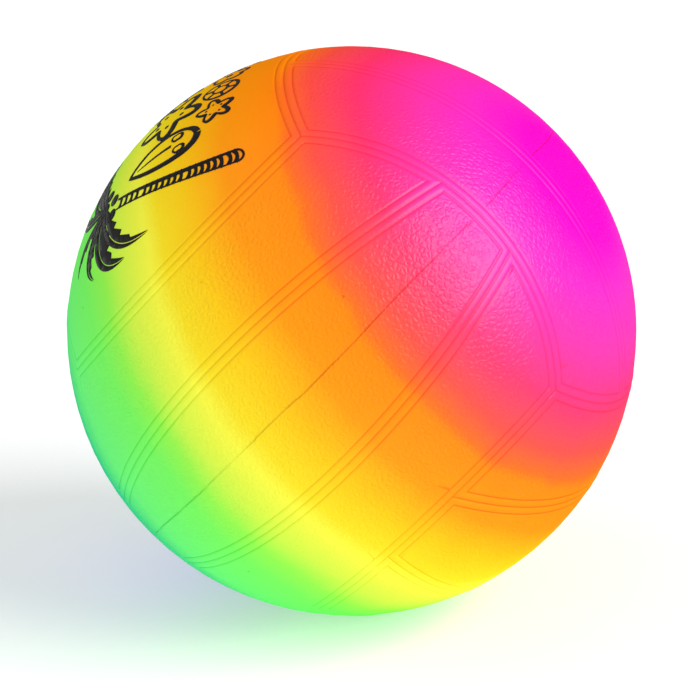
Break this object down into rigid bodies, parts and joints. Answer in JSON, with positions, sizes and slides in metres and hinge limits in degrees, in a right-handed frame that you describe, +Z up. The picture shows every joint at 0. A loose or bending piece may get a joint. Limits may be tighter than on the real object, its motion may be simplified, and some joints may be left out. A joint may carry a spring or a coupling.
{
  "type": "inflatable play ball",
  "caption": "Round inflatable ball moulded in one piece with a panelled seam pattern, sprayed in a rainbow fade, with a needle valve closed by a flush pull-out plug.",
  "frame": {"origin": "centre of the ball", "axes": "+Z up, -Y the way the front face of the seam pattern looks; the valve looks along +X-Z and the print along -X+Z; the ball rests on its lowest point at -Z"},
  "size_m": [0.22, 0.22, 0.22],
  "materials": {
    "skin_pvc": "satin",
    "seat_pvc": "satin",
    "core_rubber": "matte",
    "stopper_plastic": "satin"
  },
  "bodies": {
    "ball": {"skin": "skin_pvc", "valve_seat": "seat_pvc", "valve_core": "core_rubber"},
    "stopper": {"valve_stopper": "stopper_plastic"}
  },
  "joints": [
    {"name": "stopper_pull", "type": "slide", "parent": "ball", "child": "stopper", "axis": [0.7071, 0, -0.7071], "range_m": [0, 0.034]}
  ]
}
